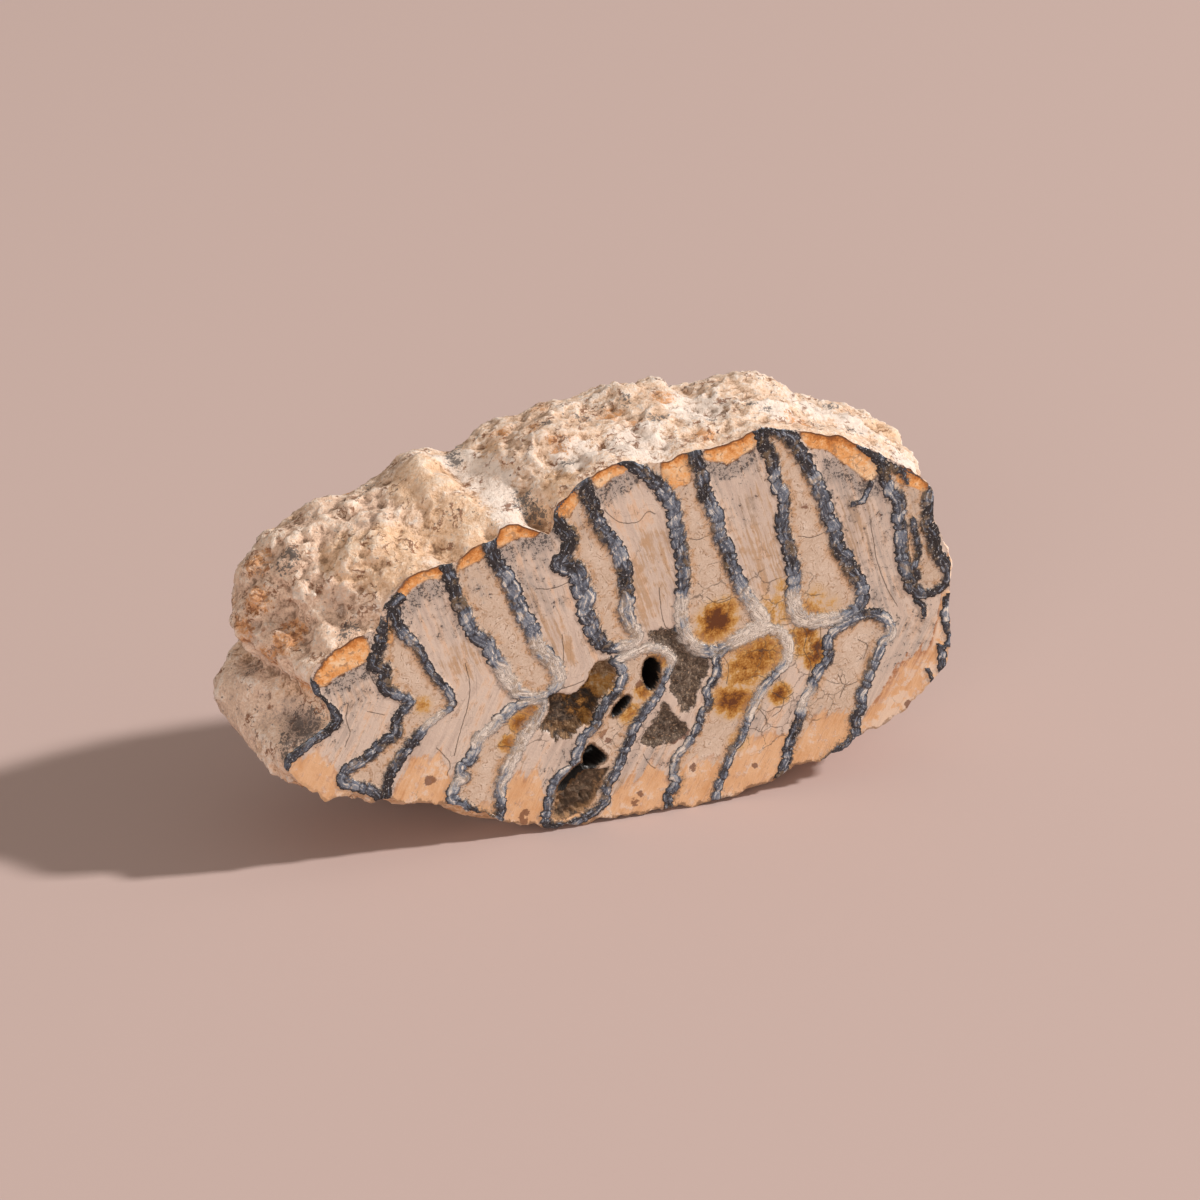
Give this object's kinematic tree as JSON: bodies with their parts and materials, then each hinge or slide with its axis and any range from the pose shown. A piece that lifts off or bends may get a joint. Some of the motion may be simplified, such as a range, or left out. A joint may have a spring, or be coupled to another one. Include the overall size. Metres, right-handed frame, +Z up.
{
  "type": "fossil mammoth molar",
  "caption": "Fossil mammoth molar, sawn and polished flat on one side to show its enamel plates, free-standing on its worn base.",
  "frame": {"origin": "middle of the bounding box at the height of the surface it stands on", "axes": "+X along the tooth towards its last, shallow plate; +Y away from the polished face into the body; +Z up"},
  "size_m": [0.145, 0.051, 0.0813],
  "materials": {
    "fossil": "mineralised tooth: satin polished dentine, glossy blue-grey enamel and rough chalky cement"
  },
  "bodies": {
    "root": {"molar": "fossil"}
  },
  "joints": []
}
